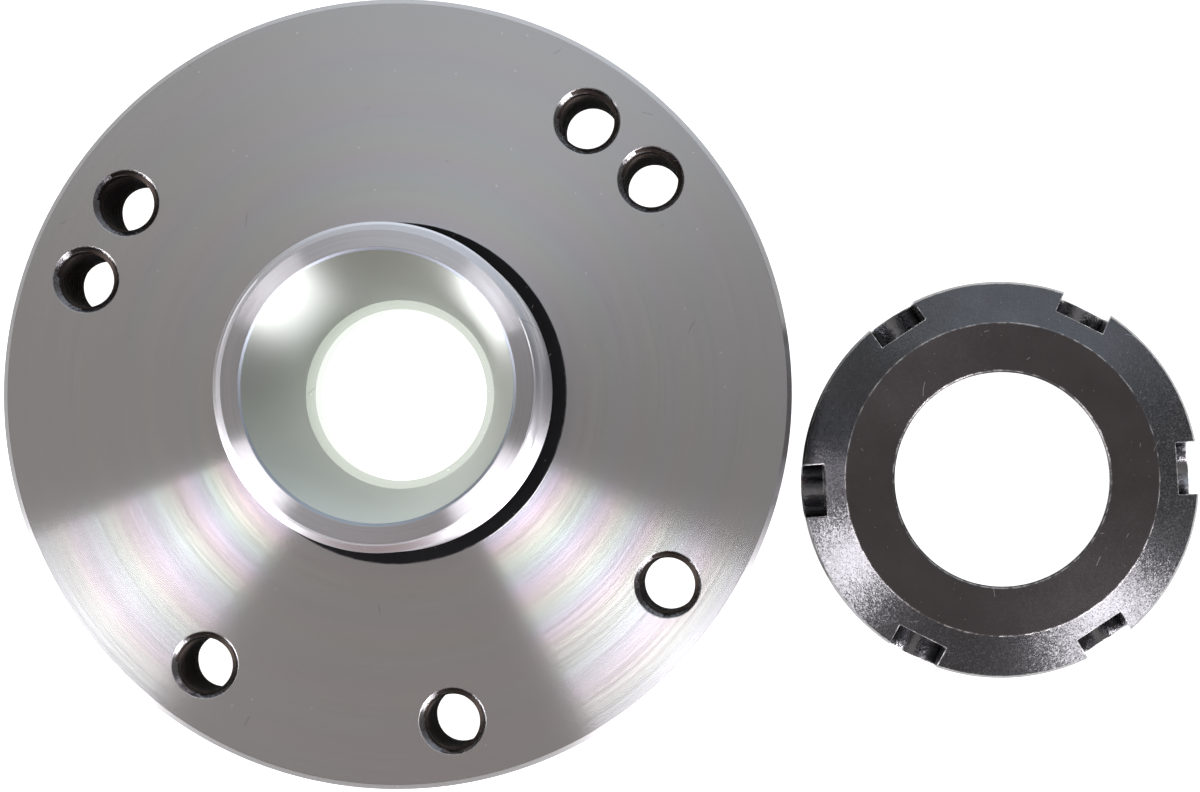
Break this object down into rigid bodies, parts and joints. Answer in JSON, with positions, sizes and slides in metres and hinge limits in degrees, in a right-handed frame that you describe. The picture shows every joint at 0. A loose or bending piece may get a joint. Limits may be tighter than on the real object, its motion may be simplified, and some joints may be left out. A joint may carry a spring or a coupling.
{
  "type": "collet chuck",
  "caption": "Flange-mounted lathe collet chuck with a threaded nose, tapered socket, tapped mounting holes and its slotted clamping nut lying beside it.",
  "frame": {"origin": "on the chuck's axis at the flange's back face, which is the mouth of the register recess", "axes": "+Z along the chuck's axis, out of the collet socket; +X towards the nut that lies beside the flange"},
  "size_m": [0.1512, 0.1, 0.046],
  "materials": {
    "ground_steel": "fine-turned and ground bright steel, satin, with black unground foot and holes",
    "black_oxide_steel": "black oxide over turned steel, satin, edges worn bright"
  },
  "bodies": {
    "root": {"chuck_body": "ground_steel", "clamping_nut": "black_oxide_steel"}
  },
  "joints": []
}
